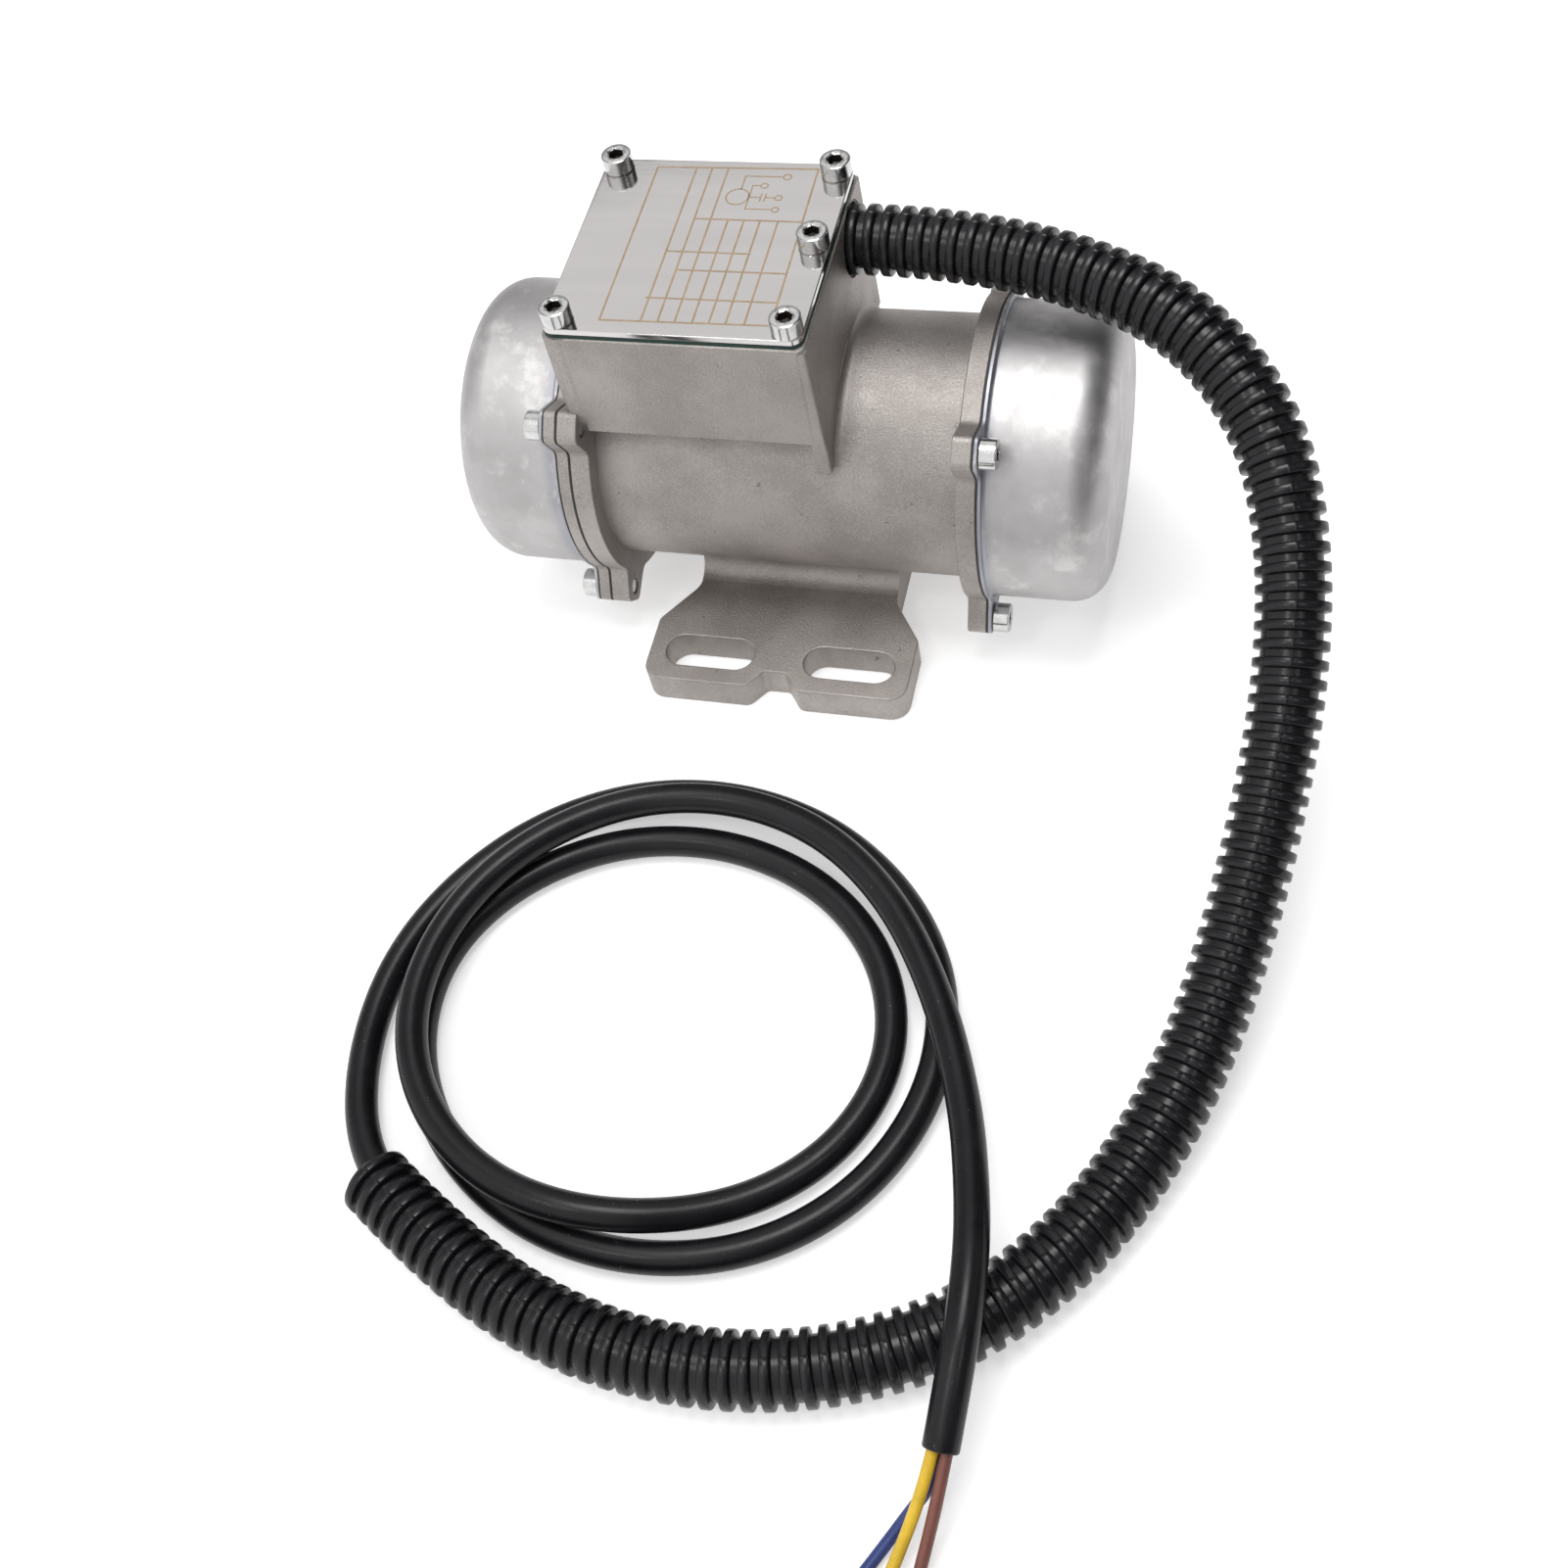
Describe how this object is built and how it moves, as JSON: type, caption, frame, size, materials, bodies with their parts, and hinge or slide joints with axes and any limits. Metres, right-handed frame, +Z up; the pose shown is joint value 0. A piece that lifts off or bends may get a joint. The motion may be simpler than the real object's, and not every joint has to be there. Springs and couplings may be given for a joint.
{
  "type": "vibration motor",
  "caption": "Small foot-mounted electric vibration motor with round end covers, a lidded terminal box and a corrugated conduit with its cable.",
  "frame": {"origin": "middle of the foot's underside", "axes": "+X along the shaft towards the cable side, -Y towards the front of the foot, +Z up from the foot"},
  "size_m": [0.2048, 0.3208, 0.103],
  "materials": {
    "cast_steel": "bead blasted stainless casting",
    "cover_steel": "satin stainless sheet",
    "lid_steel": "fine polished stainless sheet",
    "screw_steel": "polished stainless",
    "gasket_dark": "matt dark sheet",
    "gasket_green": "matt green sheet",
    "bush_rubber": "matt black",
    "conduit_plastic": "black corrugated",
    "cable_rubber": "matt black",
    "core_yellow": "satin",
    "core_brown": "satin",
    "core_blue": "satin",
    "lead_white": "satin",
    "copper": "enamelled or bare copper",
    "lamination": "stacked sheets",
    "bearing_steel": "ground",
    "spring_steel": "blackened",
    "weight_steel": "machined plate",
    "cage_aluminium": "die cast",
    "cage_plastic": "moulded",
    "capacitor_case": "moulded",
    "block_plastic": "moulded"
  },
  "bodies": {
    "housing": {"motor_housing": "cast_steel", "end_shield_left": "cast_steel", "housing_gasket_left": "gasket_dark", "cover_gasket_left": "gasket_dark", "cover_gasket_right": "gasket_dark", "end_cover_left": "cover_steel", "end_cover_right": "cover_steel", "cover_screws_left": "screw_steel", "cover_screws_right": "screw_steel", "terminal_box_lid": "lid_steel", "lid_gasket": "gasket_green", "lid_screws": "screw_steel", "conduit_bush": "bush_rubber", "stator_core": "lamination", "stator_winding": "copper", "bearing_outer_left": "bearing_steel", "bearing_outer_right": "bearing_steel", "run_capacitor": "capacitor_case", "terminal_block": "block_plastic", "terminal_screws": "screw_steel", "earth_screw": "screw_steel", "supply_lead_blue": "core_blue", "supply_lead_brown": "core_brown", "supply_lead_yellow": "core_yellow", "winding_leads": "lead_white", "conduit": "conduit_plastic", "cable": "cable_rubber", "core_yellow": "core_yellow", "core_brown": "core_brown", "core_blue": "core_blue", "core_conductors": "copper"},
    "rotor": {"rotor_shaft": "bearing_steel", "rotor_core": "lamination", "rotor_cage": "cage_aluminium", "fixed_weight_left": "weight_steel", "fixed_weight_right": "weight_steel", "weight_keys": "bearing_steel", "shaft_spacers": "bearing_steel", "retaining_rings": "spring_steel", "bearing_inner_left": "bearing_steel", "bearing_inner_right": "bearing_steel"},
    "ball_set_left": {"bearing_balls_left": "bearing_steel", "bearing_cage_left": "cage_plastic"},
    "ball_set_right": {"bearing_balls_right": "bearing_steel", "bearing_cage_right": "cage_plastic"},
    "weight_left": {"adjustable_weight_left": "weight_steel", "clamp_screw_left": "screw_steel"},
    "weight_right": {"adjustable_weight_right": "weight_steel", "clamp_screw_right": "screw_steel"}
  },
  "joints": [
    {"name": "rotor_spin", "type": "hinge", "parent": "housing", "child": "rotor", "pos_m": [0, 0, 0.041], "axis": [1, 0, 0], "continuous": true},
    {"name": "ball_set_left_spin", "type": "hinge", "parent": "housing", "child": "ball_set_left", "pos_m": [-0.0419, 0, 0.041], "axis": [1, 0, 0], "continuous": true},
    {"name": "ball_set_right_spin", "type": "hinge", "parent": "housing", "child": "ball_set_right", "pos_m": [0.0434, 0, 0.041], "axis": [1, 0, 0], "continuous": true},
    {"name": "weight_left_setting", "type": "hinge", "parent": "rotor", "child": "weight_left", "pos_m": [-0.06465, 0, 0.041], "axis": [1, 0, 0], "range_deg": [0, 180]},
    {"name": "weight_right_setting", "type": "hinge", "parent": "rotor", "child": "weight_right", "pos_m": [0.06565, 0, 0.041], "axis": [1, 0, 0], "range_deg": [0, 180]}
  ],
  "couplings": [
    {"joint": "ball_set_left_spin", "follows": "rotor_spin", "ratio": 0.3659},
    {"joint": "ball_set_right_spin", "follows": "rotor_spin", "ratio": 0.3659}
  ]
}
